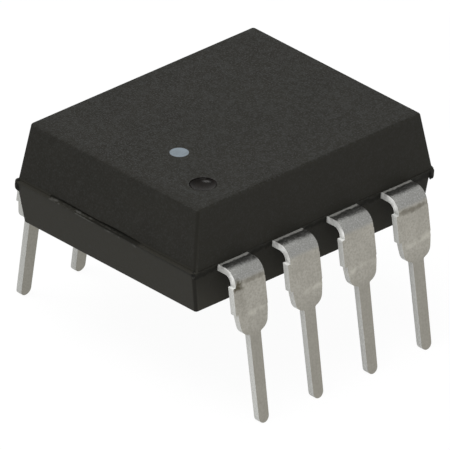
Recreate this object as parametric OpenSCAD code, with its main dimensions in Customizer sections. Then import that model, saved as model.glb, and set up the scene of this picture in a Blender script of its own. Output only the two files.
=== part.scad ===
// Eight-lead dual in-line integrated circuit in the wide body, in millimetres.
// X runs along the lead rows, Y across them and Z up, with the lead tips at Z = 0.
// Lead 1 is at the corner on the -X and -Y side, and the numbers run anticlockwise from above.

/* [Moulding] */
// Length of the moulding at its parting plane
body_length = 11.15; // [10.6:0.05:12.5]
// Width of the moulding at its parting plane
body_width = 9.0; // [8.4:0.05:9.4]
// Height of the half above the parting plane
upper_height = 2.2; // [1.4:0.01:3]
// Height of the half below the parting plane
lower_height = 1.65; // [1.1:0.01:2.2]
// Draft of the end faces, in degrees
end_draft = 9.2; // [5:0.1:12]
// Draft of the upper half's long sides, in degrees
upper_side_draft = 6.9; // [4:0.1:12]
// Draft of the lower half's long sides, in degrees
lower_side_draft = 4.6; // [3:0.1:12]
// Radius of the upright corners
corner_round = 0.14; // [0.13:0.01:0.4]
// Radius of the edges round the top and the underside
edge_round = 0.1; // [0.04:0.01:0.11]
// How far each half is set off along X, towards +X above and -X below
half_shift = 0.04; // [0:0.005:0.08]
// How far the thin flash stands out at the parting plane
flash_reach = 0.035; // [0.01:0.005:0.08]
// Thickness of the flash
flash_thickness = 0.03; // [0.015:0.005:0.06]

/* [Marks] */
// Diameter of the moulded index dimple
dimple_diameter = 0.97; // [0.6:0.01:1.4]
// Depth of the index dimple, in the middle of its bowl
dimple_depth = 0.17; // [0.1:0.01:0.3]
// Height of the dimple's upright wall, above the bowl
dimple_wall = 0.06; // [0.03:0.01:0.08]
// Centre of the dimple from the -X edge of the flat top
dimple_end_inset = 1.44; // [0.9:0.01:2]
// Centre of the dimple from the -Y edge of the flat top
dimple_side_inset = 1.29; // [0.9:0.01:2]
// Diameter of the printed index dot
dot_diameter = 0.67; // [0.4:0.01:1]
// Thickness of the ink in the dot
dot_thickness = 0.02; // [0.01:0.005:0.05]
// Centre of the dot from the -X edge of the flat top
dot_end_inset = 2.37; // [1.5:0.01:3]
// Centre of the dot from the dimple's centre along Y
dot_from_dimple = 2.21; // [1.2:0.01:3]
// Diameter of the two ejector marks in the underside
ejector_diameter = 1.6; // [1:0.1:2]
// Depth of the ejector marks
ejector_depth = 0.05; // [0.02:0.01:0.1]
// Distance between the ejector marks, centre to centre
ejector_spacing = 6.6; // [5:0.1:7.6]
// Length of the scar that the moulding gate left in the -X end, along the parting plane
scar_length = 4.6; // [2:0.1:5]
// Largest radius of the scar
scar_radius = 0.08; // [0.04:0.01:0.12]
// Middle of the scar along Y
scar_middle = 0.5; // [-0.6:0.1:0.6]

/* [Leads] */
// Spacing of the leads along a row
lead_pitch = 2.54; // [2.3:0.01:2.6]
// Thickness of the lead strip
lead_thickness = 0.25; // [0.2:0.01:0.33]
// Width of a lead where it leaves the moulding
lead_width = 1.34; // [1.25:0.01:1.6]
// Distance across the two rows, outside the bends
bend_span = 10.8; // [10.3:0.01:11.4]
// Inner radius of the bend
bend_radius = 0.3; // [0.08:0.01:0.4]
// Angle by which a lead leans outwards, in degrees
lead_splay = 8.5; // [3:0.5:12]
// Height of the parting plane above the lead tips
exit_height = 5.73; // [5.2:0.01:6.5]
// Length of the narrow blade, from its tip to the shoulder that seats on a board
blade_length = 3.32; // [2.8:0.01:3.5]
// Width of the blade at its tip
blade_tip_width = 0.46; // [0.36:0.01:0.56]
// Width of the blade under the shoulder
blade_root_width = 0.51; // [0.4:0.01:0.6]
// Radius of the fillet between blade and shoulder
blade_fillet = 0.06; // [0.03:0.01:0.15]
// Width of the shoulder at its rounded foot
foot_width = 1.24; // [1.1:0.01:1.24]
// Radius of the two corners of the foot
foot_round = 0.4; // [0.2:0.01:0.45]
// Height at which the shoulder starts to narrow, from the foot
foot_taper = 0.68; // [0.6:0.01:0.8]
// Lower end of the trimmed tie between leads, from the foot
stub_bottom = 0.84; // [0.75:0.01:1]
// Height of the trimmed tie
stub_height = 1.0; // [0.5:0.01:1.2]
// What is left of the tie on each side of a lead
stub_reach = 0.07; // [0.02:0.01:0.12]
// How far the trimming was off centre, towards +X
stub_offset = 0.05; // [0:0.01:0.07]

/* [Inside] */
// Length of the plate that carries the chip
paddle_length = 5.0; // [4:0.1:5.4]
// Width of the plate that carries the chip
paddle_width = 3.2; // [2.6:0.1:3.6]
// Gap between the plate and the ends of the leads
paddle_gap = 0.4; // [0.2:0.05:0.5]
// Depth to which a lead keeps its full width inside the moulding
anchor_depth = 1.3; // [1.1:0.05:1.5]
// Diameter of the hole that locks a lead in the moulding
anchor_hole = 0.6; // [0.3:0.05:0.8]
// Width of a lead's finger behind its anchor
finger_width = 0.8; // [0.5:0.05:1]
// Distance of the corner fingers' pads from the middle of the moulding
corner_pad_y = 1.0; // [0.8:0.05:1.1]
// Length of the chip
die_length = 2.4; // [1.6:0.1:3]
// Width of the chip
die_width = 1.8; // [1.2:0.1:2.4]
// Thickness of the chip
die_thickness = 0.3; // [0.2:0.01:0.5]
// Thickness of the adhesive under the chip
attach_thickness = 0.03; // [0.02:0.005:0.06]
// How far the adhesive squeezes out past the chip
attach_fillet = 0.08; // [0.02:0.01:0.15]
// Diameter of a bond wire
wire_diameter = 0.033; // [0.025:0.001:0.05]
// Radius of a bond wire's loop
wire_loop = 0.12; // [0.08:0.01:0.2]
// Height of a bond wire's upright start
wire_rise = 0.14; // [0.08:0.01:0.3]
// Diameter of the flattened ends of a bond wire
bond_diameter = 0.09; // [0.07:0.01:0.12]
// Thickness of the flattened ends
bond_thickness = 0.02; // [0.01:0.005:0.03]
// Distance of a bond from the edge that it is next to
bond_inset = 0.16; // [0.1:0.01:0.3]

/* [Hidden] */
$fn = 48;
hull_fn = 32;
leads_per_row = 4;
lead_count = 2 * leads_per_row;
// The lead that the chip's plate is one piece with is the last in the front row
paddle_lead = leads_per_row;
// Steps in which the scar widens and narrows
scar_steps = 8;
// A cutter or an overlap reaches this far past the face that it crosses
past = 0.2;
// Sides of a bond wire, and the steps of its loop
wire_sides = 8;
loop_steps = 6;
// Thickness of the slice that stands for an outline inside a hull
slice = 0.001;

top_z = exit_height + upper_height;
under_z = exit_height - lower_height;
die_z = exit_height + attach_thickness;
die_top_z = die_z + die_thickness;

// Half sizes of the moulding's outline at a distance from the parting plane
function half_length(rise) = body_length / 2 - rise * tan(end_draft);
function half_width(rise, draft) = body_width / 2 - rise * tan(draft);

dimple_x = half_shift - half_length(upper_height) + dimple_end_inset;
dimple_y = dimple_side_inset - half_width(upper_height, upper_side_draft);
dot_x = half_shift - half_length(upper_height) + dot_end_inset;
dot_y = dimple_y + dot_from_dimple;

bend_outer = bend_radius + lead_thickness;
bend_y = bend_span / 2 - bend_outer;
bend_z = exit_height - bend_outer;
anchor_y = body_width / 2 - anchor_depth;

// Place of a lead: column from -1.5 to 1.5, and its row, -1 in front and 1 behind
function column(n) = n <= leads_per_row
    ? n - (leads_per_row + 1) / 2
    : lead_count + 1 - n - (leads_per_row + 1) / 2;
function row(n) = n <= leads_per_row ? -1 : 1;
function is_corner(n) = abs(column(n)) > leads_per_row / 2 - 1;

// Angle at which a line from a point touches a circle, on the circle's anticlockwise side (1) or
// its clockwise side (-1). The point is given from the circle's centre.
function touch_angle(point, radius, side) =
    atan2(point[1], point[0]) + side * acos(radius / norm(point));

// One half of the moulding, from the parting plane to rise above it
module half_body(rise, side_draft) {
    hull() {
        for (sx = [-1, 1], sy = [-1, 1]) {
            translate([
                sx * (half_length(0) - corner_round),
                sy * (half_width(0, side_draft) - corner_round),
                0
            ])
                cylinder(r = corner_round, h = slice, $fn = hull_fn);
            translate([
                sx * (half_length(rise - edge_round) - corner_round),
                sy * (half_width(rise - edge_round, side_draft) - corner_round),
                rise - edge_round
            ])
                rounded_disc(corner_round, edge_round);
        }
    }
}

// A short post whose upper edge is rounded, for the corners of the top
module rounded_disc(radius, edge) {
    rotate_extrude($fn = hull_fn)
        intersection() {
            union() {
                translate([radius - edge, 0])
                    circle(r = edge, $fn = hull_fn);
                square([radius - edge, edge]);
            }
            square([radius, edge]);
        }
}

// A flat rectangle with round corners
module rounded_rectangle(length, width, radius) {
    square([length, width - 2 * radius], center = true);
    square([length - 2 * radius, width], center = true);
    for (sx = [-1, 1], sy = [-1, 1])
        translate([sx * (length / 2 - radius), sy * (width / 2 - radius)])
            circle(r = radius);
}

// The thin skin that squeezed out between the two halves of the mould
module flash() {
    translate([0, 0, exit_height])
        linear_extrude(flash_thickness)
            rounded_rectangle(
                body_length + 2 * (half_shift + flash_reach),
                body_width + 2 * flash_reach,
                corner_round
            );
}

// Radius of the scar after a number of its steps
function scar_width(step) = scar_radius * (0.5 + 0.5 * abs(sin(step * 137)));

// The ragged groove where the gate broke away, above the flash on the -X end
module gate_scar() {
    run = scar_length / scar_steps;
    for (step = [0 : scar_steps - 1])
        translate([
            half_shift - half_length(0),
            scar_middle - scar_length / 2 + step * run,
            exit_height + flash_thickness + scar_radius / 3
        ])
            rotate([-90, 0, 0])
                cylinder(r1 = scar_width(step), r2 = scar_width(step + 1), h = run);
}

// Cutter for the index dimple: an upright wall over a shallow bowl
module index_dimple() {
    sag = dimple_depth - dimple_wall;
    bowl = (pow(dimple_diameter / 2, 2) + sag * sag) / (2 * sag);
    translate([dimple_x, dimple_y, top_z - dimple_depth])
        intersection() {
            cylinder(d = dimple_diameter, h = dimple_depth + past);
            translate([0, 0, bowl])
                sphere(r = bowl);
        }
}

// The moulding, with the marks in its faces and closed round everything inside it
module body() {
    color([0.21, 0.21, 0.20])
        difference() {
            union() {
                translate([half_shift, 0, exit_height])
                    half_body(upper_height, upper_side_draft);
                translate([-half_shift, 0, exit_height])
                    mirror([0, 0, 1])
                        half_body(lower_height, lower_side_draft);
                flash();
            }
            index_dimple();
            translate([dot_x, dot_y, top_z - dot_thickness])
                cylinder(d = dot_diameter, h = dot_thickness + past);
            gate_scar();
            for (side = [-1, 1])
                translate([side * ejector_spacing / 2 - half_shift, 0, under_z - past])
                    cylinder(d = ejector_diameter, h = ejector_depth + past);
            for (n = [1 : lead_count]) {
                lead(n);
                bond_wire(n);
            }
            die_attach();
            die();
        }
}

// A lead seen from its end: strip, bend and leaning leg, as Y outwards against Z
module lead_profile() {
    leg = exit_height + past;
    translate([anchor_y, exit_height - lead_thickness])
        square([bend_y - anchor_y, lead_thickness]);
    translate([bend_y, bend_z]) {
        intersection() {
            difference() {
                circle(r = bend_outer);
                circle(r = bend_radius);
            }
            polygon([
                [0, 0],
                [0, 2 * bend_outer],
                [2 * bend_outer, 2 * bend_outer],
                [2 * bend_outer, 2 * bend_outer * tan(lead_splay)]
            ]);
        }
        rotate(lead_splay)
            translate([bend_radius, -leg])
                square([lead_thickness, leg]);
    }
}

// A lead seen from the side of the package: shoulder, trimmed tie, foot and blade, as X against Z
module lead_outline() {
    foot_z = blade_length;
    taper_z = foot_z + foot_taper;
    round_x = foot_width / 2 - foot_round;
    round_z = foot_z + foot_round;
    tip = blade_tip_width / 2;
    root = blade_root_width / 2;
    // The narrowing side touches the round corner at this angle
    lean = touch_angle([lead_width / 2 - round_x, taper_z - round_z], foot_round, -1);
    touch = [round_x + foot_round * cos(lean), round_z + foot_round * sin(lean)];
    translate([-lead_width / 2, taper_z])
        square([lead_width, exit_height + past - taper_z]);
    translate([-lead_width / 2 - stub_reach - stub_offset, foot_z + stub_bottom])
        square([lead_width + 2 * stub_reach, stub_height]);
    polygon([
        [-lead_width / 2, taper_z],
        [lead_width / 2, taper_z],
        [touch[0], touch[1]],
        [round_x, foot_z],
        [-round_x, foot_z],
        [-touch[0], touch[1]]
    ]);
    for (side = [-1, 1]) {
        translate([side * round_x, round_z])
            circle(r = foot_round);
        mirror([side > 0 ? 0 : 1, 0])
            translate([root, foot_z])
                difference() {
                    translate([-blade_fillet / 2, -blade_fillet])
                        square([blade_fillet * 3 / 2, 2 * blade_fillet]);
                    translate([blade_fillet, -blade_fillet])
                        circle(r = blade_fillet);
                }
    }
    polygon([
        [-tip, tip],
        [tip, tip],
        [root, foot_z + blade_fillet],
        [-root, foot_z + blade_fillet]
    ]);
    translate([0, tip])
        circle(r = tip);
}

// What a lead becomes inside the moulding, seen from above, with the lead's own centre at X = 0
module finger_outline(n) {
    inner_y = is_corner(n)
        ? corner_pad_y - finger_width / 2
        : paddle_width / 2 + paddle_gap;
    translate([-finger_width / 2, -anchor_y - past])
        square([finger_width, anchor_y + past - inner_y]);
    if (is_corner(n)) {
        pad_reach = abs(column(n)) * lead_pitch - paddle_length / 2 - paddle_gap;
        carries_paddle = n == paddle_lead;
        mirror([column(n) > 0 ? 1 : 0, 0])
            translate([-finger_width / 2, -corner_pad_y - finger_width / 2])
                square([
                    finger_width / 2 + pad_reach + (carries_paddle ? paddle_gap + past : 0),
                    finger_width
                ]);
        if (carries_paddle)
            translate([-column(n) * lead_pitch, 0])
                square([paddle_length, paddle_width], center = true);
    }
}

// One stamped and bent lead, with the part of the lead frame that it grows from
module lead(n) {
    strip = lead_width + 2 * (stub_reach + stub_offset);
    hole_y = anchor_y + anchor_depth / 2;
    color([0.62, 0.62, 0.60])
        mirror([0, row(n) > 0 ? 1 : 0, 0])
            translate([column(n) * lead_pitch, 0, 0])
                difference() {
                    union() {
                        intersection() {
                            rotate([90, 0, -90])
                                linear_extrude(strip, center = true)
                                    lead_profile();
                            rotate([90, 0, 0])
                                linear_extrude(bend_span)
                                    lead_outline();
                        }
                        translate([0, 0, exit_height - lead_thickness])
                            linear_extrude(lead_thickness)
                                finger_outline(n);
                    }
                    translate([0, -hole_y, exit_height - lead_thickness - past])
                        cylinder(d = anchor_hole, h = lead_thickness + 2 * past);
                }
}

// The cured adhesive between the plate and the chip
module die_attach() {
    color([0.70, 0.70, 0.68])
        translate([0, 0, exit_height])
            linear_extrude(attach_thickness)
                rounded_rectangle(
                    die_length + 2 * attach_fillet,
                    die_width + 2 * attach_fillet,
                    attach_fillet
                );
}

// The chip itself
module die() {
    color([0.30, 0.32, 0.36])
        translate([-die_length / 2, -die_width / 2, die_z])
            cube([die_length, die_width, die_thickness]);
}

// Where a bond wire starts on the chip and ends on its lead
function bond_start(n) = is_corner(n)
    ? [sign(column(n)) * (die_length / 2 - bond_inset), row(n) * die_width / 4]
    : [sign(column(n)) * die_length / 4, row(n) * (die_width / 2 - bond_inset)];
function bond_end(n) = is_corner(n)
    ? [sign(column(n)) * (paddle_length / 2 + paddle_gap + bond_inset), row(n) * corner_pad_y]
    : [column(n) * lead_pitch, row(n) * (paddle_width / 2 + paddle_gap + bond_inset)];

// A round wire along a path in the XZ plane, whose points each have their direction as an angle
module wire(path, radius) {
    rings = len(path);
    polyhedron(
        points = [
            for (stop = path, side = [0 : wire_sides - 1])
                let (
                    around = side * 360 / wire_sides,
                    out = radius * cos(around),
                    slant = stop[2] + 90
                )
                [stop[0] + out * cos(slant), radius * sin(around), stop[1] + out * sin(slant)]
        ],
        faces = concat(
            [[for (side = [0 : wire_sides - 1]) side]],
            [
                for (ring = [0 : rings - 2], side = [0 : wire_sides - 1])
                    let (next = (side + 1) % wire_sides, base = ring * wire_sides)
                    [
                        base + side,
                        base + wire_sides + side,
                        base + wire_sides + next,
                        base + next
                    ]
            ],
            [[for (side = [wire_sides - 1 : -1 : 0]) (rings - 1) * wire_sides + side]]
        )
    );
}

// A gold wire: pressed ball on the chip, upright start, round loop and slope to the lead
module bond_wire(n) {
    way = bond_end(n) - bond_start(n);
    run = norm(way);
    radius = wire_diameter / 2;
    loop_z = die_top_z + wire_rise;
    foot = [run - wire_loop, exit_height + radius - loop_z];
    touch = touch_angle(foot, wire_loop, 1);
    route = concat(
        [[0, die_top_z + bond_thickness / 2, 90]],
        [
            for (step = [0 : loop_steps])
                let (turn = 180 - step * (180 - touch) / loop_steps)
                [
                    wire_loop + wire_loop * cos(turn),
                    loop_z + wire_loop * sin(turn),
                    turn - 90
                ]
        ],
        [[run, exit_height + radius, touch - 90]]
    );
    color([0.83, 0.66, 0.30])
        translate([bond_start(n)[0], bond_start(n)[1], 0])
            rotate([0, 0, atan2(way[1], way[0])]) {
                wire(route, radius);
                translate([0, 0, die_top_z])
                    cylinder(d = bond_diameter, h = bond_thickness);
                translate([run, 0, exit_height])
                    cylinder(d = bond_diameter, h = bond_thickness);
            }
}

// The printed dot beside the dimple, whose ink fills the rough skin level with the flat top
module index_dot() {
    color([0.60, 0.65, 0.69])
        translate([dot_x, dot_y, top_z - dot_thickness])
            cylinder(d = dot_diameter, h = dot_thickness);
}

body();
lead(1);  // lead_1
lead(2);  // lead_2
lead(3);  // lead_3
lead(4);  // lead_4
lead(5);  // lead_5
lead(6);  // lead_6
lead(7);  // lead_7
lead(8);  // lead_8
die_attach();
die();
bond_wire(1);  // bond_wire_1
bond_wire(2);  // bond_wire_2
bond_wire(3);  // bond_wire_3
bond_wire(4);  // bond_wire_4
bond_wire(5);  // bond_wire_5
bond_wire(6);  // bond_wire_6
bond_wire(7);  // bond_wire_7
bond_wire(8);  // bond_wire_8
index_dot();
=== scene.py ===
"""Looks for an eight-lead dual in-line integrated circuit in the wide body."""

import math

import bmesh
import bpy
from mathutils import Matrix, Vector, noise


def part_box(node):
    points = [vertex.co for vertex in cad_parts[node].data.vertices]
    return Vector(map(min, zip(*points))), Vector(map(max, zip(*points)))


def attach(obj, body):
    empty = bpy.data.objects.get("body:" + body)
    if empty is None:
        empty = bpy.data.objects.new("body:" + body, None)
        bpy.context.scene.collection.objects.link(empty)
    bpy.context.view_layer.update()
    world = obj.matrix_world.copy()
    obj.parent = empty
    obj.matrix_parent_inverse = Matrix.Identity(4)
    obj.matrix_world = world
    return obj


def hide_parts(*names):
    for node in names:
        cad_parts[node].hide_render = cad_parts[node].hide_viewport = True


bl_info = {
    "name": "Dual in-line chip looks",
    "version": (1, 0, 0),
    "blender": (4, 5, 0),
    "location": "View3D > Sidebar > Chip",
    "description": "Moulded epoxy, tin-plated leads and index marks for a dual in-line chip",
    "category": "Object",
}

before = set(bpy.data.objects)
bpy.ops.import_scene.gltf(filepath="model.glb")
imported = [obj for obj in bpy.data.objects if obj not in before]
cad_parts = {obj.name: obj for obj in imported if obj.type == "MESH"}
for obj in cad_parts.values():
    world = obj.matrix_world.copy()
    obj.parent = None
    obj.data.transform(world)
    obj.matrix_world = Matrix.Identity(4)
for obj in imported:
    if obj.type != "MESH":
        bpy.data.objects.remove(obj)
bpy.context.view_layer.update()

MM = 0.001
ROOT = "root"
FRONT_LEADS = ("lead_1", "lead_2", "lead_3", "lead_4")
BACK_LEADS = ("lead_5", "lead_6", "lead_7", "lead_8")
LEADS = FRONT_LEADS + BACK_LEADS
WIRES = tuple(f"bond_wire_{n}" for n in range(1, 9))

BODY_LOW, BODY_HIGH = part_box("body")
END_X = BODY_LOW.x
WALL_Y = abs(BODY_LOW.y)
# The parting plane is the leads' upper face
PARTING_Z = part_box("lead_2")[1].z
LEAD_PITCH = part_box("lead_3")[0].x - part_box("lead_2")[0].x

DOT_LOW, DOT_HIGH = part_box("index_dot")
DOT = (DOT_LOW + DOT_HIGH) / 2
DOT_RADIUS = (DOT_HIGH.x - DOT_LOW.x) / 2
# The edges of the flat top beside the index marks
TOP_EDGE_X = DOT.x - 2.37 * MM
TOP_EDGE_Y = DOT.y - 3.50 * MM
# The moulded dimple lies between the dot and the front left corner
DIMPLE_HALF_DEPTH = 0.1 * MM
DIMPLE = Vector((DOT.x - 0.93 * MM, DOT.y - 2.21 * MM, DOT_HIGH.z - DIMPLE_HALF_DEPTH))

# Where the gate broke away from the -X end, along a line that slants a little
SCAR_LOW_Y, SCAR_HIGH_Y = -1.75 * MM, 2.75 * MM
SCAR_Z = PARTING_Z + 0.085 * MM
SCAR_SLANT = -0.026
FLASH_REACH = 0.035 * MM
# Near black for painted shade in the scar's groove and under the flash of the sides
SHADE_BLACK = (0.004, 0.004, 0.003)
LIP_GREY = (0.065, 0.065, 0.060)

# Lumps of flash, in shares of their radius, and the share that is left beside lead 1
BURR_INSET = 0.60
BURR_TALL = 2.1
BURR_DROP = 1.2
BURR_RAGGED = 0.22
BURR_LUMPS = 1.7
WORN_BURR = 0.55

# Heights on a leg, above the plane that the lead tips stand on
BLADE_PALE_Z, BLADE_DULL_Z = 3.75 * MM, 3.15 * MM
CREASE_LOW_Z, CREASE_HIGH_Z = 4.20 * MM, 4.28 * MM
STUB_TOP_Z = 5.35 * MM

# Painted glints on the stamped sides and the bend
SPARKLE_GREY = (0.58, 0.58, 0.57)
# Painted highlight on the stamped sides
PAINTED_GLINT_METAL = (0.85, 0.85, 0.83)
CREASE_CREAM = (0.60, 0.58, 0.51)
WALL_SHADE = (0.09, 0.088, 0.08)
PIT_GREY = (0.10, 0.10, 0.095)
FRINGE_GREY = (0.22, 0.22, 0.205)
# Painted shade on the back row
BACK_ROW_GREY = (0.10, 0.10, 0.08)

# Tarnish on the front row: middle x and z, half width and half height in mm, and strength
STAINS = (
    (-4.38, 5.17, 0.30, 0.30, 1.0),
    (-3.60, 5.26, 0.75, 0.12, 0.45),
    (3.75, 5.20, 0.90, 0.13, 0.6),
    (-4.30, 4.70, 0.30, 0.80, 0.2),
)

WELD = 0.0004 * MM
CUT_WELD = 0.0002 * MM
FLAT_ANGLE = math.radians(0.6)
STAMPED_ANGLE = math.radians(40)
FLOOR_RADIUS = 1.5
# Lamps: name, place in mm, side in metres, and share of the key's power
LAMPS = (
    ("overhead", (-120, 60, 420), 0.28, 1.0),
    ("front", (-260, -330, 200), 0.35, 0.25),
)


class ChipMouldingSettings(bpy.types.PropertyGroup):
    """Colours and grain of the epoxy moulding"""

    colour: bpy.props.FloatVectorProperty(
        name="Epoxy", description="Colour of the filled black epoxy",
        default=(0.0134, 0.0128, 0.0104), size=3, min=0, max=1, subtype="COLOR")
    speck_colour: bpy.props.FloatVectorProperty(
        name="Filler specks", description="Colour of the lighter filler grains in the skin",
        default=(0.0284, 0.029, 0.0275), size=3, min=0, max=1, subtype="COLOR")
    grain_size: bpy.props.FloatProperty(
        name="Grain", description="Size of a grain in the moulded skin",
        default=0.065 * MM, min=0.005 * MM, max=0.5 * MM, unit="LENGTH", precision=6)
    grain_height: bpy.props.FloatProperty(
        name="Grain height", description="Height of the grain in the moulded skin",
        default=0.012 * MM, min=0, max=0.1 * MM, unit="LENGTH", precision=6)
    roughness: bpy.props.FloatProperty(
        name="Roughness", description="How matte the skin is",
        default=0.62, min=0, max=1, subtype="FACTOR")
    burr_size: bpy.props.FloatProperty(
        name="Burrs", description="Radius of the lumps of flash at the corners",
        default=0.115 * MM, min=0.02 * MM, max=0.3 * MM, unit="LENGTH", precision=6)
    side_calm: bpy.props.FloatProperty(
        name="Calm sides", description="How much smoother the sides are than the top",
        default=0.7, min=0, max=1, subtype="FACTOR")


class ChipLeadSettings(bpy.types.PropertyGroup):
    """Plating and edges of the leads"""

    plating: bpy.props.FloatVectorProperty(
        name="Plating", description="Colour of the satin tin plate",
        default=(0.372, 0.357, 0.315), size=3, min=0, max=1, subtype="COLOR")
    shadowed_plating: bpy.props.FloatVectorProperty(
        name="Dull plating", description="Colour of the duller patches in the plate",
        default=(0.262, 0.250, 0.216), size=3, min=0, max=1, subtype="COLOR")
    sheared: bpy.props.FloatVectorProperty(
        name="Sheared edge", description="Colour of the stamped side faces",
        default=(0.44, 0.445, 0.43), size=3, min=0, max=1, subtype="COLOR")
    strained: bpy.props.FloatVectorProperty(
        name="Bend", description="Colour of the plating over the bend",
        default=(0.240, 0.240, 0.228), size=3, min=0, max=1, subtype="COLOR")
    back_row_shade: bpy.props.FloatProperty(
        name="Back row shade", description="How much painted shade darkens the back row",
        default=0.24, min=0, max=1, subtype="FACTOR")
    stain: bpy.props.FloatVectorProperty(
        name="Stain", description="Colour of the tarnish beside the bend",
        default=(0.075, 0.066, 0.045), size=3, min=0, max=1, subtype="COLOR")
    edge_round: bpy.props.FloatProperty(
        name="Edge round", description="Rounding of the stamped edges under the plating",
        default=0.016 * MM, min=0.005 * MM, max=0.06 * MM, unit="LENGTH", precision=6)
    roughness: bpy.props.FloatProperty(
        name="Roughness", description="How satin the plating is",
        default=0.36, min=0, max=1, subtype="FACTOR")
    hidden_depth: bpy.props.FloatProperty(
        name="Depth in the moulding", description="How far a leg runs on into the moulding",
        default=0.5 * MM, min=0.1 * MM, max=1.0 * MM, unit="LENGTH", precision=6)


class ChipMarkSettings(bpy.types.PropertyGroup):
    """The printed dot and the moulded dimple"""

    ink: bpy.props.FloatVectorProperty(
        name="Ink", description="Colour of the printed dot",
        default=(0.119, 0.146, 0.167), size=3, min=0, max=1, subtype="COLOR")
    dimple_radius: bpy.props.FloatProperty(
        name="Dimple radius", description="Radius of the moulded dimple",
        default=0.49 * MM, min=0.2 * MM, max=1 * MM, unit="LENGTH", precision=6)
    dimple_roughness: bpy.props.FloatProperty(
        name="Dimple roughness", description="How polished the dimple's floor is",
        default=0.24, min=0, max=1, subtype="FACTOR")
    dimple_shine: bpy.props.FloatProperty(
        name="Dimple shine", description="Strength of the reflections in the dimple",
        default=0.10, min=0, max=1, subtype="FACTOR")


class ChipStageSettings(bpy.types.PropertyGroup):
    """Floor, light and camera"""

    floor: bpy.props.FloatVectorProperty(
        name="Floor", description="Colour of the floor",
        default=(0.86, 0.86, 0.86), size=3, min=0, max=1, subtype="COLOR")
    floor_lift: bpy.props.FloatProperty(
        name="Floor lift", description="How much of the seen floor is plain white",
        default=0.955, min=0, max=1, subtype="FACTOR")
    fill: bpy.props.FloatProperty(
        name="Fill", description="Strength of the even light from all round",
        default=0.55, min=0, max=2)
    key: bpy.props.FloatProperty(
        name="Key", description="Power of the soft overhead lamp",
        default=2.2, min=0, max=20, unit="POWER")
    azimuth: bpy.props.FloatProperty(
        name="Azimuth", description="Camera's direction round the chip",
        default=math.radians(-43.0188), subtype="ANGLE")
    elevation: bpy.props.FloatProperty(
        name="Elevation", description="Camera's height above the horizon",
        default=math.radians(28.8074), subtype="ANGLE")
    roll: bpy.props.FloatProperty(
        name="Roll", description="Camera's turn about its own axis",
        default=math.radians(0.4454), subtype="ANGLE")
    distance: bpy.props.FloatProperty(
        name="Distance", description="Camera's distance from the chip",
        default=726.63 * MM, min=50 * MM, max=2, unit="LENGTH")
    view_angle: bpy.props.FloatProperty(
        name="View angle", description="Angle across the square picture",
        default=math.radians(1.21828), subtype="ANGLE")
    aim: bpy.props.FloatVectorProperty(
        name="Aim", description="Point in the middle of the picture",
        default=(-0.0183 * MM, -0.0619 * MM, 3.7951 * MM), size=3, subtype="TRANSLATION")


def new_material(name, roughness, metallic=0.0, specular=0.5):
    """A material with its Principled shader, and the tree to add to."""
    material = bpy.data.materials.new(name)
    material.use_nodes = True
    tree = material.node_tree
    shader = tree.nodes["Principled BSDF"]
    shader.inputs["Roughness"].default_value = roughness
    shader.inputs["Metallic"].default_value = metallic
    shader.inputs["Specular IOR Level"].default_value = specular
    return material, tree, shader


def add_node(tree, kind, **inputs):
    """A node with values or links for its inputs, by name or number."""
    node = tree.nodes.new(kind)
    for name, value in inputs.items():
        socket = node.inputs[int(name[1:]) if name[0] == "i" and name[1:].isdigit()
                             else name.replace("_", " ")]
        if isinstance(value, bpy.types.NodeSocket):
            tree.links.new(value, socket)
        else:
            socket.default_value = value
    return node


def maths(tree, operation, first, second=0.0, third=0.0):
    """The result of one Math node."""
    node = add_node(tree, "ShaderNodeMath", i0=first, i1=second, i2=third)
    node.operation = operation
    return node.outputs[0]


def mix_colour(tree, mask, first, second):
    """Goes from the first colour to the second as the mask goes from 0 to 1."""
    node = tree.nodes.new("ShaderNodeMix")
    node.data_type = "RGBA"
    for socket, value in ((node.inputs[0], mask), (node.inputs[6], first),
                          (node.inputs[7], second)):
        if isinstance(value, bpy.types.NodeSocket):
            tree.links.new(value, socket)
        elif socket.type == "RGBA":
            socket.default_value = (*tuple(value)[:3], 1)
        else:
            socket.default_value = value
    return node.outputs[2]


def smooth_range(tree, value, low, high):
    """0 below low, 1 above high, and smooth between."""
    node = add_node(tree, "ShaderNodeMapRange", Value=value, From_Min=low, From_Max=high)
    node.interpolation_type = "SMOOTHSTEP"
    return node.outputs["Result"]


def patches_group():
    """Shader group: soft patches of a named size, as a mask and as a height."""
    name = "chip_patches"
    if name in bpy.data.node_groups:
        return bpy.data.node_groups[name]
    group = bpy.data.node_groups.new(name, "ShaderNodeTree")
    sockets = group.interface.new_socket
    sockets("Vector", in_out="INPUT", socket_type="NodeSocketVector")
    for label, value in (("Size", MM), ("Detail", 2.0), ("Low", 0.4), ("High", 0.6),
                         ("Variant", 0.0)):
        socket = sockets(label, in_out="INPUT", socket_type="NodeSocketFloat")
        socket.default_value = value
    sockets("Mask", in_out="OUTPUT", socket_type="NodeSocketFloat")
    sockets("Height", in_out="OUTPUT", socket_type="NodeSocketFloat")
    source = group.nodes.new("NodeGroupInput").outputs
    scale = maths(group, "DIVIDE", 1.0, source["Size"])
    cloud = add_node(group, "ShaderNodeTexNoise", Vector=source["Vector"],
                     Scale=scale, Detail=source["Detail"])
    cloud.noise_dimensions = "4D"
    group.links.new(source["Variant"], cloud.inputs["W"])
    mask = smooth_range(group, cloud.outputs["Fac"], source["Low"], source["High"])
    out = group.nodes.new("NodeGroupOutput")
    group.links.new(mask, out.inputs["Mask"])
    group.links.new(cloud.outputs["Fac"], out.inputs["Height"])
    return group


def patches(tree, where, size, low, high, detail=2.0, variant=0.0):
    """One use of the patches group: its mask and its height."""
    node = tree.nodes.new("ShaderNodeGroup")
    node.node_tree = patches_group()
    tree.links.new(where, node.inputs["Vector"])
    for label, value in (("Size", size), ("Detail", detail), ("Low", low), ("High", high),
                         ("Variant", variant)):
        node.inputs[label].default_value = value
    return node.outputs["Mask"], node.outputs["Height"]


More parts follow.
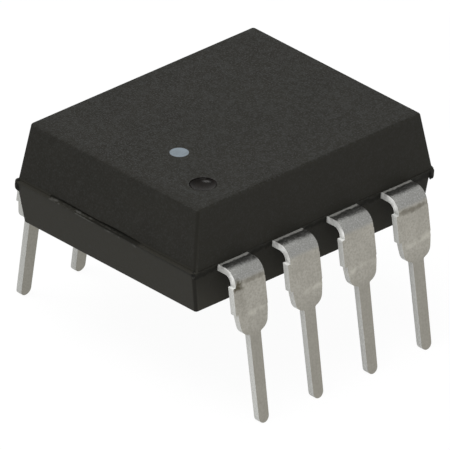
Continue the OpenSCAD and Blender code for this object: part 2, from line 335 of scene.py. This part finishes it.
def separate(tree, vector):
    """The X, Y and Z of a vector."""
    node = add_node(tree, "ShaderNodeSeparateXYZ", Vector=vector)
    return node.outputs["X"], node.outputs["Y"], node.outputs["Z"]


def place(tree):
    """The point on the piece, in metres, as one vector."""
    return tree.nodes.new("ShaderNodeTexCoord").outputs["Object"]


def facing(tree):
    """The X, Y and Z of the direction that the surface faces."""
    return separate(tree, tree.nodes.new("ShaderNodeTexCoord").outputs["Normal"])


def band(tree, value, low, high, soft):
    """1 between low and high, fading over the soft width at both ends."""
    return maths(tree, "MULTIPLY", smooth_range(tree, value, low - soft, low + soft),
                 smooth_range(tree, value, high + soft, high - soft))


def scaled(tree, mask, amount):
    """A mask at part of its strength."""
    return maths(tree, "MULTIPLY", mask, amount)


def product(tree, *masks):
    """1 where all the masks are 1."""
    total = masks[0]
    for mask in masks[1:]:
        total = maths(tree, "MULTIPLY", total, mask)
    return total


def painted(tree, under, over, mask, amount=1.0):
    """One colour laid over another by a mask, at part of its strength."""
    return mix_colour(tree, scaled(tree, mask, amount), under, over)


def tinted(colour, factor):
    """A colour made lighter or darker by a factor."""
    return tuple(channel * factor for channel in colour)


def frayed(tree, where, value, amount, size, variant, detail=3.0):
    """A value made uneven by up to an amount, in patches of a named size."""
    _, height = patches(tree, where, size, 0.4, 0.6, detail, variant)
    return maths(tree, "MULTIPLY_ADD", height, amount, value)


def bump(tree, shader, height, distance):
    """Feeds a height to the shader's normal."""
    node = add_node(tree, "ShaderNodeBump", Height=height, Distance=distance)
    tree.links.new(node.outputs["Normal"], shader.inputs["Normal"])


def facing_up(tree, where, upward):
    """1 on the top face and 0 on the sides, with an uneven border on the rounded edge."""
    tilt = frayed(tree, where, maths(tree, "SUBTRACT", upward, 0.45), 0.9, 0.22 * MM, 11.0)
    return smooth_range(tree, tilt, 0.40, 0.90)


def parting_masks(tree, where, along_x):
    """Masks round the parting line: painted shade in the scar's groove, pale lips, painted light
    at the corner, and painted light on the end below the parting line.
    """
    x, y, z = separate(tree, where)
    on_end = smooth_range(tree, along_x, -0.45, -0.75)
    near_end = smooth_range(tree, x, END_X + 0.30 * MM, END_X + 0.22 * MM)
    along = product(tree, band(tree, y, SCAR_LOW_Y, SCAR_HIGH_Y, 0.12 * MM), near_end)
    level = frayed(tree, where, maths(tree, "MULTIPLY_ADD", y, SCAR_SLANT, z), 0.10 * MM,
                   0.16 * MM, 12.0)
    groove = band(tree, level, SCAR_Z - 0.035 * MM, SCAR_Z + 0.05 * MM, 0.02 * MM)
    lip = band(tree, level, SCAR_Z - 0.13 * MM, SCAR_Z - 0.06 * MM, 0.015 * MM)
    lit = band(tree, z, PARTING_Z - 0.02 * MM, PARTING_Z + 0.13 * MM, 0.03 * MM)
    floor_lit_end = maths(tree, "MULTIPLY_ADD", y, -0.02, z)
    floor_lit_end = smooth_range(tree, floor_lit_end, PARTING_Z + 0.04 * MM, PARTING_Z - 0.08 * MM)
    return (product(tree, along, groove), product(tree, along, lip),
            product(tree, near_end, lit), product(tree, floor_lit_end, on_end))


def flash_shade(tree, where, on_side):
    """1 on the ragged dark band under the parting line of the sides: painted shade under the
    flash, on the rough skin that the dam bars left.
    """
    _, _, z = separate(tree, where)
    level = frayed(tree, where, z, 0.5 * MM, 0.30 * MM, 13.0, detail=4.0)
    strip = band(tree, level, PARTING_Z + 0.02 * MM, PARTING_Z + 0.20 * MM, 0.05 * MM)
    below = smooth_range(tree, z, PARTING_Z + 0.01 * MM, PARTING_Z - 0.02 * MM)
    return product(tree, strip, on_side, below)


def rim_shade(tree, where):
    """1 at the edges of the top beside the marks, where painted shade darkens the top as its
    grain fades out.
    """
    x, y, _ = separate(tree, where)
    x = frayed(tree, where, x, 0.35 * MM, 0.20 * MM, 14.0)
    y = frayed(tree, where, y, 0.20 * MM, 0.20 * MM, 14.0)
    end = smooth_range(tree, x, TOP_EDGE_X + 0.68 * MM, TOP_EDGE_X + 0.12 * MM)
    side = smooth_range(tree, y, TOP_EDGE_Y + 0.36 * MM, TOP_EDGE_Y + 0.06 * MM)
    return maths(tree, "MAXIMUM", end, scaled(tree, side, 0.75))


def side_tone_with_painted_light(tree, where, colour):
    """The long sides' colour, with painted light that makes them paler towards the bottom of the
    moulding.
    """
    _, _, z = separate(tree, where)
    deep = smooth_range(tree, z, PARTING_Z, BODY_LOW.z)
    return mix_colour(tree, deep, tinted(colour, 1.3), tinted(colour, 2.3))


def epoxy_material(settings):
    """Filled black epoxy: fine lighter grains in a dark skin, clouded over wider areas."""
    material, tree, shader = new_material("black_epoxy", settings.roughness, specular=0.06)
    where = place(tree)
    along_x, along_y, upward = facing(tree)
    groove, lip, lit, floor_lit_end = parting_masks(tree, where, along_x)
    # Painted shade: fewer lighter grains towards the top's edges
    clear_of_rim_shade = maths(tree, "MULTIPLY_ADD", rim_shade(tree, where), -0.75, 1.0)
    top = product(tree, facing_up(tree, where, upward), clear_of_rim_shade)
    rough = maths(tree, "MULTIPLY_ADD", top, settings.side_calm, 1.0 - settings.side_calm)
    specks, grain = patches(tree, where, settings.grain_size, 0.51, 0.62, 3.0)
    clouds, _ = patches(tree, where, 1.6 * MM, 0.35, 0.65, 3.0, 2.0)
    coarse, lumps = patches(tree, where, 3.0 * settings.grain_size, 0.40, 0.72, 2.0, 5.0)
    dark, bright = settings.colour, settings.speck_colour
    skin = mix_colour(tree, clouds, tinted(dark, 0.88), dark)
    # Painted light from the floor: the end is paler below the parting line
    skin = mix_colour(tree, floor_lit_end, skin, tinted(dark, 1.72))
    on_side = smooth_range(tree, maths(tree, "ABSOLUTE", along_y), 0.6, 0.85)
    # Painted light on the long sides
    skin = mix_colour(tree, on_side, skin, side_tone_with_painted_light(tree, where, dark))
    skin = painted(tree, skin, bright, product(tree, specks, rough), 0.95)
    skin = painted(tree, skin, bright, product(tree, coarse, rough), 0.45)
    # Painted light in a band along the parting line by the end
    skin = mix_colour(tree, lit, skin, tinted(dark, 1.5))
    # The upright corners catch more light than the faces, and their skin is one plain tone
    upright = maths(tree, "MINIMUM", maths(tree, "ABSOLUTE", along_x),
                    maths(tree, "ABSOLUTE", along_y))
    skin = mix_colour(tree, smooth_range(tree, upright, 0.18, 0.45), skin, tinted(dark, 0.95))
    # Painted shade in the gate scar's groove
    skin = painted(tree, skin, SHADE_BLACK, groove, 0.75)
    flecks, _ = patches(tree, where, 0.32 * MM, 0.47, 0.60, 3.0, 8.0)
    skin = painted(tree, skin, LIP_GREY, product(tree, lip, flecks), 0.7)
    # Painted shade under the flash of the long sides
    skin = painted(tree, skin, SHADE_BLACK, flash_shade(tree, where, on_side), 0.6)
    tree.links.new(skin, shader.inputs["Base Color"])
    height = product(tree, maths(tree, "MULTIPLY_ADD", lumps, 0.6, grain), rough)
    bump(tree, shader, height, settings.grain_height)
    return material


def dimple_material(settings, marks):
    """Polished epoxy in the index dimple, painted near black as shade, and paler where its floor
    meets the near rim.
    """
    material, tree, shader = new_material("polished_epoxy", marks.dimple_roughness,
                                          specular=marks.dimple_shine)
    where = place(tree)
    _, y, _ = separate(tree, where)
    near = smooth_range(tree, maths(tree, "SUBTRACT", y, DIMPLE.y),
                        0.05 * marks.dimple_radius, -0.95 * marks.dimple_radius)
    mottle, height = patches(tree, where, 0.12 * MM, 0.35, 0.65, 3.0, 15.0)
    # Painted shade: far darker than the skin, easing towards the skin's colour by the near rim
    dark = mix_colour(tree, mottle, (0.0022, 0.0016, 0.0012), (0.0050, 0.0036, 0.0026))
    tree.links.new(painted(tree, dark, settings.colour, near, 0.75), shader.inputs["Base Color"])
    bump(tree, shader, height, 0.2 * settings.grain_height)
    return material


def tarnish(tree, where):
    """Brown stains below the bends of the front row's end leads."""
    x, y, z = separate(tree, where)
    total = None
    for middle_x, middle_z, half_width, half_height, strength in STAINS:
        across = maths(tree, "DIVIDE", maths(tree, "SUBTRACT", x, middle_x * MM), half_width * MM)
        up = maths(tree, "DIVIDE", maths(tree, "SUBTRACT", z, middle_z * MM), half_height * MM)
        far = maths(tree, "ADD", product(tree, across, across), product(tree, up, up))
        far = frayed(tree, where, far, 2.2, 0.18 * MM, 7.3, detail=4.0)
        spot = scaled(tree, smooth_range(tree, far, 2.1, 1.0), strength)
        total = spot if total is None else maths(tree, "MAXIMUM", total, spot)
    return product(tree, total, smooth_range(tree, y, -3 * MM, -4 * MM))


def plate_colour(tree, where, z, settings):
    """The plate's mottled colour, duller on the blades, and its fine and wide patches."""
    fine, fine_height = patches(tree, where, 0.08 * MM, 0.35, 0.70, 3.0)
    wide, _ = patches(tree, where, 0.45 * MM, 0.38, 0.66, 4.0, 3.0)
    rolled = add_node(tree, "ShaderNodeMapping", Vector=where, Scale=(1, 1, 0.2))
    streaks, _ = patches(tree, rolled.outputs[0], 0.12 * MM, 0.35, 0.68, 2.0, 9.0)
    dull = settings.shadowed_plating
    colour = painted(tree, settings.plating, dull, wide, 0.34)
    colour = painted(tree, colour, dull, streaks, 0.12)
    colour = painted(tree, colour, dull, fine, 0.70)
    blade = smooth_range(tree, z, BLADE_PALE_Z, BLADE_DULL_Z)
    return painted(tree, colour, tinted(dull, 0.9), blade, 0.55), fine, fine_height, wide


def stamped_mask(tree, along_x, upward, z):
    """1 on the stamped side faces and on the sheared upper ends of the tie stubs."""
    sides = smooth_range(tree, maths(tree, "ABSOLUTE", along_x), 0.35, 0.75)
    ledge = product(tree, smooth_range(tree, upward, 0.55, 0.85),
                    smooth_range(tree, z, STUB_TOP_Z + 0.07 * MM, STUB_TOP_Z - 0.07 * MM))
    return maths(tree, "MAXIMUM", sides, ledge)


def crease_mask(tree, where, z):
    """1 on the worn places of an uneven crease across each leg, above its shoulders' feet."""
    wave = add_node(tree, "ShaderNodeTexNoise", Vector=where, Scale=1 / (1.1 * MM))
    level = maths(tree, "MULTIPLY_ADD", wave.outputs["Fac"], 0.5 * MM, z)
    worn, _ = patches(tree, where, 0.5 * MM, 0.36, 0.62, 2.0, 6.0)
    return product(tree, band(tree, level, CREASE_LOW_Z, CREASE_HIGH_Z, 0.16 * MM), worn)


def wall_marks(tree, where, upward, bent, colour):
    """Lays a strip of painted shade, pits and a dry fringe over the leads' colour beside the
    moulding.
    """
    _, y, z = separate(tree, where)
    depth = frayed(tree, where, maths(tree, "ABSOLUTE", y), -0.22 * MM, 0.14 * MM, 16.0)
    shelf = smooth_range(tree, z, PARTING_Z - 0.16 * MM, PARTING_Z - 0.06 * MM)
    strip = band(tree, depth, WALL_Y - 0.01 * MM, WALL_Y + 0.15 * MM, 0.04 * MM)
    # Painted shade on the leads' tops where they leave the moulding's wall
    colour = painted(tree, colour, WALL_SHADE, product(tree, shelf, strip), 0.35)
    pits, _ = patches(tree, where, 0.07 * MM, 0.46, 0.60, 3.0, 21.0)
    reach = band(tree, depth, WALL_Y - 0.01 * MM, WALL_Y + 0.40 * MM, 0.06 * MM)
    colour = painted(tree, colour, PIT_GREY, product(tree, pits, reach, shelf, bent), 0.55)
    fringe = product(tree, smooth_range(tree, upward, 0.85, 0.95),
                     smooth_range(tree, depth, WALL_Y + 0.035 * MM, WALL_Y - 0.01 * MM))
    return mix_colour(tree, fringe, colour, FRINGE_GREY), fringe


def plating_material(settings):
    """Satin tin plate: mottled faces, paler stamped sides and bend with painted glints, a painted
    highlight, painted shade, tarnish and creases.
    """
    material, tree, shader = new_material("tin_plate", settings.roughness, metallic=1.0)
    where = place(tree)
    _, y, z = separate(tree, where)
    along_x, _, upward = facing(tree)
    stamped = stamped_mask(tree, along_x, upward, z)
    bent = smooth_range(tree, upward, 0.10, 0.50)
    pale = maths(tree, "MAXIMUM", stamped, bent)
    sparkle, sparkle_height = patches(tree, where, 0.05 * MM, 0.40, 0.74, 2.0, 4.0)
    colour, fine, fine_height, wide = plate_colour(tree, where, z, settings)
    colour = mix_colour(tree, bent, colour, settings.strained)
    colour = painted(tree, colour, settings.sheared, stamped, 0.8)
    # Painted glints on the stamped sides and the bend
    colour = painted(tree, colour, SPARKLE_GREY, product(tree, sparkle, pale), 0.30)
    # Painted highlight on the stamped sides from the tie stubs' tops upward, in wide patches
    glint_band = smooth_range(tree, z, STUB_TOP_Z - 0.30 * MM, STUB_TOP_Z)
    colour = painted(tree, colour, PAINTED_GLINT_METAL, product(tree, stamped, glint_band, wide), 0.85)
    colour = painted(tree, colour, CREASE_CREAM, crease_mask(tree, where, z), 0.75)
    stained = maths(tree, "SUBTRACT", tarnish(tree, where), stamped)
    colour = mix_colour(tree, maths(tree, "MAXIMUM", stained, 0.0), colour, settings.stain)
    colour, fringe = wall_marks(tree, where, upward, bent, colour)
    # Painted shade on the back row, which stands in the moulding's shade
    back = smooth_range(tree, y, -MM, MM)
    colour = painted(tree, colour, BACK_ROW_GREY, back, settings.back_row_shade)
    tree.links.new(colour, shader.inputs["Base Color"])
    rough = maths(tree, "MULTIPLY_ADD", fine, 0.12, settings.roughness - 0.05)
    rough = maths(tree, "MULTIPLY_ADD", stamped, 0.30, rough)
    tree.links.new(rough, shader.inputs["Roughness"])
    # The torn metal of a stamped side scatters light where the plate mirrors it
    dry = maths(tree, "MAXIMUM", stamped, fringe)
    tree.links.new(maths(tree, "MULTIPLY_ADD", dry, -0.75, 1.0), shader.inputs["Metallic"])
    grain = maths(tree, "MULTIPLY_ADD", product(tree, sparkle_height, pale), 0.8, fine_height)
    bump(tree, shader, grain, 0.006 * MM)
    return material


def ink_material(settings, moulding):
    """Pad-printed ink: thin at its rim, with the skin's grain showing through."""
    material, tree, shader = new_material("marking_ink", 0.55, specular=0.4)
    where = place(tree)
    shift = add_node(tree, "ShaderNodeVectorMath", i0=where, i1=tuple(DOT))
    shift.operation = "SUBTRACT"
    length = add_node(tree, "ShaderNodeVectorMath", i0=shift.outputs[0])
    length.operation = "LENGTH"
    rim = smooth_range(tree, length.outputs["Value"], 0.86 * DOT_RADIUS, 1.02 * DOT_RADIUS)
    thin, grain = patches(tree, where, moulding.grain_size, 0.56, 0.80, 3.0)
    drawn = add_node(tree, "ShaderNodeMapping", Vector=where, Scale=(0.25, 1, 1))
    lines, _ = patches(tree, drawn.outputs[0], 0.10 * MM, 0.42, 0.68, 2.0, 17.0)
    worn = maths(tree, "MAXIMUM", scaled(tree, rim, 0.45), scaled(tree, thin, 0.35))
    worn = maths(tree, "MAXIMUM", worn, scaled(tree, lines, 0.22))
    colour = mix_colour(tree, worn, settings.ink, moulding.speck_colour)
    tree.links.new(colour, shader.inputs["Base Color"])
    bump(tree, shader, grain, 0.4 * moulding.grain_height)
    return material


def inner_material(name, colour, second, size, roughness, metallic, specular=0.5):
    """Two tones in soft patches, for the burrs and for what the moulding closes round."""
    material, tree, shader = new_material(name, roughness, metallic, specular)
    mask, height = patches(tree, place(tree), size, 0.4, 0.62)
    tree.links.new(mix_colour(tree, mask, colour, second), shader.inputs["Base Color"])
    bump(tree, shader, height, 0.1 * size)
    return material


def joined_copy(nodes, name):
    """A closed mesh with shared corners and whole flat faces, from copies of CAD nodes."""
    mesh = bpy.data.meshes.new(name)
    form = bmesh.new()
    for node in nodes:
        form.from_mesh(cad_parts[node].data)
    bmesh.ops.remove_doubles(form, verts=form.verts, dist=WELD)
    bmesh.ops.dissolve_degenerate(form, edges=form.edges, dist=WELD)
    bmesh.ops.dissolve_limit(form, angle_limit=FLAT_ANGLE, verts=form.verts,
                             edges=form.edges, delimit={"NORMAL"})
    form.to_mesh(mesh)
    form.free()
    mesh.materials.clear()
    return mesh


def cut_mesh(mesh, point, normal):
    """Keeps what lies behind the plane, and closes the cut."""
    form = bmesh.new()
    form.from_mesh(mesh)
    cut = bmesh.ops.bisect_plane(
        form, geom=form.verts[:] + form.edges[:] + form.faces[:],
        plane_co=point, plane_no=normal, clear_outer=True, dist=CUT_WELD)
    rim = [edge for edge in cut["geom_cut"] if isinstance(edge, bmesh.types.BMEdge)]
    bmesh.ops.holes_fill(form, edges=rim)
    bmesh.ops.recalc_face_normals(form, faces=form.faces)
    form.to_mesh(mesh)
    form.free()


def new_object(name, data):
    """An object for a mesh, a lamp or a camera, linked to the scene at the origin."""
    thing = bpy.data.objects.new(name, data)
    bpy.context.scene.collection.objects.link(thing)
    return thing


def apply_modifiers(thing):
    """Turns a piece and its modifiers into a plain mesh."""
    evaluated = thing.evaluated_get(bpy.context.evaluated_depsgraph_get())
    mesh = bpy.data.meshes.new_from_object(evaluated)
    thing.modifiers.clear()
    old = thing.data
    thing.data = mesh
    bpy.data.meshes.remove(old)
    mesh.name = thing.name


def shade(mesh, limit):
    """Smooth faces that meet at less than the limit, in degrees."""
    mesh.polygons.foreach_set("use_smooth", [True] * len(mesh.polygons))
    mesh.set_sharp_from_angle(angle=math.radians(limit))


def even_shading(piece, limit):
    """Shades a piece by the size of its faces, so that narrow bevels don't bend flat ones."""
    shade(piece.data, limit)
    weighted = piece.modifiers.new("even_shading", "WEIGHTED_NORMAL")
    weighted.keep_sharp = True
    apply_modifiers(piece)


def lead_row_tree():
    """Geometry Nodes: a leg on each place of the front row and of the back row."""
    tree = bpy.data.node_groups.new("chip_lead_rows", "GeometryNodeTree")
    sockets = tree.interface.new_socket
    sockets("Geometry", in_out="INPUT", socket_type="NodeSocketGeometry")
    sockets("Front leg", in_out="INPUT", socket_type="NodeSocketObject")
    sockets("Back leg", in_out="INPUT", socket_type="NodeSocketObject")
    sockets("Pitch", in_out="INPUT", socket_type="NodeSocketFloat")
    sockets("Leads in a row", in_out="INPUT", socket_type="NodeSocketInt")
    sockets("Finish", in_out="INPUT", socket_type="NodeSocketMaterial")
    sockets("Geometry", in_out="OUTPUT", socket_type="NodeSocketGeometry")
    source = tree.nodes.new("NodeGroupInput").outputs
    pitch, count = source["Pitch"], source["Leads in a row"]
    gaps = maths(tree, "SUBTRACT", count, 1.0)
    start = add_node(tree, "ShaderNodeCombineXYZ",
                     X=maths(tree, "MULTIPLY", maths(tree, "MULTIPLY", gaps, pitch), -0.5))
    step = add_node(tree, "ShaderNodeCombineXYZ", X=pitch)
    line = add_node(tree, "GeometryNodeMeshLine", Count=count,
                    Start_Location=start.outputs[0], Offset=step.outputs[0])
    line.mode = "OFFSET"
    rows = tree.nodes.new("GeometryNodeJoinGeometry")
    for leg in ("Front leg", "Back leg"):
        info = add_node(tree, "GeometryNodeObjectInfo", Object=source[leg])
        placed = add_node(tree, "GeometryNodeInstanceOnPoints",
                          Points=line.outputs["Mesh"], Instance=info.outputs["Geometry"])
        tree.links.new(placed.outputs["Instances"], rows.inputs["Geometry"])
    real = add_node(tree, "GeometryNodeRealizeInstances", Geometry=rows.outputs["Geometry"])
    finish = add_node(tree, "GeometryNodeSetMaterial", Geometry=real.outputs["Geometry"],
                      Material=source["Finish"])
    out = tree.nodes.new("NodeGroupOutput")
    tree.links.new(finish.outputs["Geometry"], out.inputs["Geometry"])
    return tree


def set_inputs(modifier, **values):
    """Sets a Geometry Nodes modifier's inputs by their sockets' identifiers."""
    for item in modifier.node_group.interface.items_tree:
        key = item.name.replace(" ", "_")
        if item.in_out == "INPUT" and key in values:
            modifier[item.identifier] = values[key]


def leg_object(node, side, settings):
    """The outer part of one lead, centred on X = 0, with its stamped edges rounded."""
    low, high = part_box(node)
    mesh = joined_copy([node], f"leg_{node}")
    face = WALL_Y - settings.hidden_depth
    cut_mesh(mesh, Vector((0, side * face, 0)), Vector((0, -side, 0)))
    column = LEAD_PITCH * (math.floor((low.x + high.x) / 2 / LEAD_PITCH) + 0.5)
    mesh.transform(Matrix.Translation((-column, 0, 0)))
    leg = new_object(f"leg_{node}", mesh)
    bevel = leg.modifiers.new("stamped_edges", "BEVEL")
    bevel.width = settings.edge_round
    bevel.segments = 3
    bevel.limit_method = "ANGLE"
    bevel.angle_limit = STAMPED_ANGLE
    return leg


class CHIP_OT_moulding(bpy.types.Operator):
    """Dress the epoxy moulding"""

    bl_idname = "chip.moulding"
    bl_label = "Moulding"

    def execute(self, context):
        settings = context.scene.chip_moulding
        marks = context.scene.chip_marks
        mesh = joined_copy(["body"], "moulding")
        mesh.materials.append(epoxy_material(settings))
        mesh.materials.append(dimple_material(settings, marks))
        for face in mesh.polygons:
            off = face.center - DIMPLE
            if (off.xy.length < 1.01 * marks.dimple_radius
                    and abs(off.z) < 0.99 * DIMPLE_HALF_DEPTH):
                face.material_index = 1
        piece = new_object("moulding", mesh)
        even_shading(piece, 25)
        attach(piece, ROOT)
        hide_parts("body")
        return {"FINISHED"}


def corner_burr(form, corner, size):
    """Adds one lump of flash to a form, under the parting line of a corner of the moulding."""
    lump = bmesh.ops.create_icosphere(form, subdivisions=4, radius=1.0)
    for vert in lump["verts"]:
        uneven = 1.0 + BURR_RAGGED * noise.noise(vert.co * BURR_LUMPS + corner / MM)
        vert.co = corner + Vector((vert.co.x, vert.co.y, BURR_TALL * vert.co.z)) * size * uneven
        vert.co.z -= BURR_DROP * size


class CHIP_OT_burrs(bpy.types.Operator):
    """Add the lumps of flash at the moulding's corners"""

    bl_idname = "chip.burrs"
    bl_label = "Burrs"

    def execute(self, context):
        settings = context.scene.chip_moulding
        mesh = bpy.data.meshes.new("corner_burrs")
        form = bmesh.new()
        inset = BURR_INSET * settings.burr_size + FLASH_REACH
        for x in (BODY_LOW.x + inset, BODY_HIGH.x - inset):
            for y in (BODY_LOW.y + inset, BODY_HIGH.y - inset):
                # The lump beside lead 1 has mostly broken off
                left = WORN_BURR if x < 0 and y < 0 else 1.0
                corner_burr(form, Vector((x, y, PARTING_Z)), settings.burr_size * left)
        form.to_mesh(mesh)
        form.free()
        mesh.materials.append(inner_material("burr_epoxy", (0.006, 0.006, 0.005),
                                             (0.020, 0.0195, 0.017), 0.10 * MM, 0.8, 0.0,
                                             specular=0.12))
        shade(mesh, 60)
        piece = new_object("corner_burrs", mesh)
        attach(piece, ROOT)
        return {"FINISHED"}


class CHIP_OT_leads(bpy.types.Operator):
    """Plate the leads and round their stamped edges"""

    bl_idname = "chip.leads"
    bl_label = "Leads"

    def execute(self, context):
        settings = context.scene.chip_leads
        finish = plating_material(settings)
        front = leg_object("lead_2", -1, settings)
        back = leg_object("lead_7", 1, settings)
        legs = new_object("lead_legs", bpy.data.meshes.new("lead_legs"))
        rows = legs.modifiers.new("rows", "NODES")
        rows.node_group = lead_row_tree()
        set_inputs(rows, Front_leg=front, Back_leg=back, Pitch=LEAD_PITCH,
                   Leads_in_a_row=len(FRONT_LEADS), Finish=finish)
        apply_modifiers(legs)
        for source in (front, back):
            bpy.data.objects.remove(source)
        even_shading(legs, 50)
        fingers = new_object("lead_fingers", joined_copy(LEADS, "lead_fingers"))
        face = WALL_Y - settings.hidden_depth
        for side in (-1, 1):
            cut_mesh(fingers.data, Vector((0, side * face, 0)), Vector((0, side, 0)))
        fingers.data.materials.append(finish)
        for piece in (legs, fingers):
            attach(piece, ROOT)
            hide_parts(*LEADS)
        return {"FINISHED"}


class CHIP_OT_marks(bpy.types.Operator):
    """Print the index dot"""

    bl_idname = "chip.marks"
    bl_label = "Marks"

    def execute(self, context):
        dress("index_dot", ink_material(context.scene.chip_marks, context.scene.chip_moulding))
        return {"FINISHED"}


class CHIP_OT_inside(bpy.types.Operator):
    """Finish the chip, its adhesive and its bond wires"""

    bl_idname = "chip.inside"
    bl_label = "Inside"

    def execute(self, context):
        dress("die", inner_material("silicon", (0.05, 0.06, 0.09), (0.09, 0.10, 0.14),
                                    0.3 * MM, 0.25, 0.6))
        dress("die_attach", inner_material("die_adhesive", (0.42, 0.42, 0.40),
                                           (0.50, 0.50, 0.48), 0.06 * MM, 0.5, 0.3))
        gold = inner_material("bond_gold", (0.83, 0.58, 0.20), (0.76, 0.50, 0.16),
                              0.05 * MM, 0.22, 1.0)
        for wire in WIRES:
            dress(wire, gold)
        return {"FINISHED"}


def dress(node, material):
    """Gives a CAD node its material."""
    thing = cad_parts[node]
    if not thing.material_slots:
        thing.data.materials.append(material)
    for slot in thing.material_slots:
        slot.material = material


def floor_material(settings):
    """Pale floor that keeps its shadow, and lets a view from below through."""
    material, tree, shader = new_material("pale_floor", 0.9, specular=0.1)
    shader.inputs["Base Color"].default_value = (*settings.floor, 1)
    path = tree.nodes.new("ShaderNodeLightPath").outputs
    seen = maths(tree, "MAXIMUM", path["Is Camera Ray"], path["Is Glossy Ray"])
    white = tree.nodes.new("ShaderNodeEmission")
    lifted = add_node(tree, "ShaderNodeMixShader",
                      i0=maths(tree, "MULTIPLY", seen, settings.floor_lift),
                      i1=shader.outputs[0], i2=white.outputs[0])
    clear = tree.nodes.new("ShaderNodeBsdfTransparent")
    side = add_node(tree, "ShaderNodeMixShader",
                    i0=tree.nodes.new("ShaderNodeNewGeometry").outputs["Backfacing"],
                    i1=lifted.outputs[0], i2=clear.outputs[0])
    tree.links.new(side.outputs[0], tree.nodes["Material Output"].inputs["Surface"])
    return material


class CHIP_OT_stage(bpy.types.Operator):
    """Set the floor, the light and the camera"""

    bl_idname = "chip.stage"
    bl_label = "Stage"

    def execute(self, context):
        scene = context.scene
        settings = scene.chip_stage
        scene.view_settings.view_transform = "Standard"
        self.build_floor(settings)
        self.build_world(scene, settings)
        self.build_lamps(settings)
        self.build_camera(scene, settings)
        return {"FINISHED"}

    def build_floor(self, settings):
        mesh = bpy.data.meshes.new("floor")
        form = bmesh.new()
        bmesh.ops.create_circle(form, cap_ends=True, segments=96, radius=FLOOR_RADIUS)
        form.to_mesh(mesh)
        form.free()
        mesh.materials.append(floor_material(settings))
        floor = new_object("floor", mesh)
        if mesh.polygons[0].normal.z < 0:
            mesh.flip_normals()

    def build_world(self, scene, settings):
        world = bpy.data.worlds.new("white_room")
        scene.world = world
        world.use_nodes = True
        tree = world.node_tree
        path = tree.nodes.new("ShaderNodeLightPath").outputs
        seen = maths(tree, "MAXIMUM", path["Is Camera Ray"],
                     maths(tree, "MAXIMUM", path["Is Glossy Ray"],
                           path["Is Transmission Ray"]))
        strength = maths(tree, "MULTIPLY_ADD", seen, 1.0 - settings.fill, settings.fill)
        back = tree.nodes["Background"]
        back.inputs["Color"].default_value = (1, 1, 1, 1)
        tree.links.new(strength, back.inputs["Strength"])

    def build_lamps(self, settings):
        for name, spot, side, share in LAMPS:
            lamp = bpy.data.lights.new(name, "AREA")
            lamp.shape = "SQUARE"
            lamp.size = side
            lamp.energy = share * settings.key
            thing = new_object(name, lamp)
            thing.location = Vector(spot) * MM
            thing.rotation_euler = (-thing.location).to_track_quat("-Z", "Y").to_euler()

    def build_camera(self, scene, settings):
        azimuth, elevation = settings.azimuth, settings.elevation
        back = Vector((math.sin(azimuth) * math.cos(elevation),
                       -math.cos(azimuth) * math.cos(elevation), math.sin(elevation)))
        right = Vector((0, 0, 1)).cross(back).normalized()
        up = back.cross(right)
        cos, sin = math.cos(settings.roll), math.sin(settings.roll)
        right, up = cos * right + sin * up, -sin * right + cos * up
        turn = Matrix((right, up, back)).transposed().to_4x4()
        data = bpy.data.cameras.new("camera")
        data.angle = settings.view_angle
        data.clip_start = 0.01
        data.clip_end = 10
        camera = new_object("camera", data)
        camera.matrix_world = Matrix.Translation(
            Vector(settings.aim) + back * settings.distance) @ turn
        scene.camera = camera


class CHIP_PT_sidebar(bpy.types.Panel):
    """Lists the chip's pieces and their settings"""

    bl_idname = "CHIP_PT_sidebar"
    bl_label = "Chip"
    bl_space_type = "VIEW_3D"
    bl_region_type = "UI"
    bl_category = "Chip"

    def draw(self, context):
        for name, group, operator in SECTIONS:
            box = self.layout.box()
            box.label(text=name)
            if group:
                settings = getattr(context.scene, group)
                for key in settings.bl_rna.properties.keys():
                    if key not in ("rna_type", "name"):
                        box.prop(settings, key)
            box.operator(operator)


SECTIONS = (
    ("Moulding", "chip_moulding", CHIP_OT_moulding.bl_idname),
    ("Burrs", None, CHIP_OT_burrs.bl_idname),
    ("Leads", "chip_leads", CHIP_OT_leads.bl_idname),
    ("Marks", "chip_marks", CHIP_OT_marks.bl_idname),
    ("Inside", None, CHIP_OT_inside.bl_idname),
    ("Stage", "chip_stage", CHIP_OT_stage.bl_idname),
)
SETTINGS = {
    "chip_moulding": ChipMouldingSettings,
    "chip_leads": ChipLeadSettings,
    "chip_marks": ChipMarkSettings,
    "chip_stage": ChipStageSettings,
}
CLASSES = (*SETTINGS.values(), CHIP_OT_moulding, CHIP_OT_burrs, CHIP_OT_leads, CHIP_OT_marks,
           CHIP_OT_inside, CHIP_OT_stage, CHIP_PT_sidebar)


def register():
    for kind in CLASSES:
        bpy.utils.register_class(kind)
    for name, kind in SETTINGS.items():
        setattr(bpy.types.Scene, name, bpy.props.PointerProperty(type=kind))


def unregister():
    for name in SETTINGS:
        delattr(bpy.types.Scene, name)
    for kind in reversed(CLASSES):
        bpy.utils.unregister_class(kind)


def main():
    register()
    bpy.ops.chip.moulding()
    bpy.ops.chip.burrs()
    bpy.ops.chip.leads()
    bpy.ops.chip.marks()
    bpy.ops.chip.inside()
    bpy.ops.chip.stage()


if __name__ == "__main__":
    main()
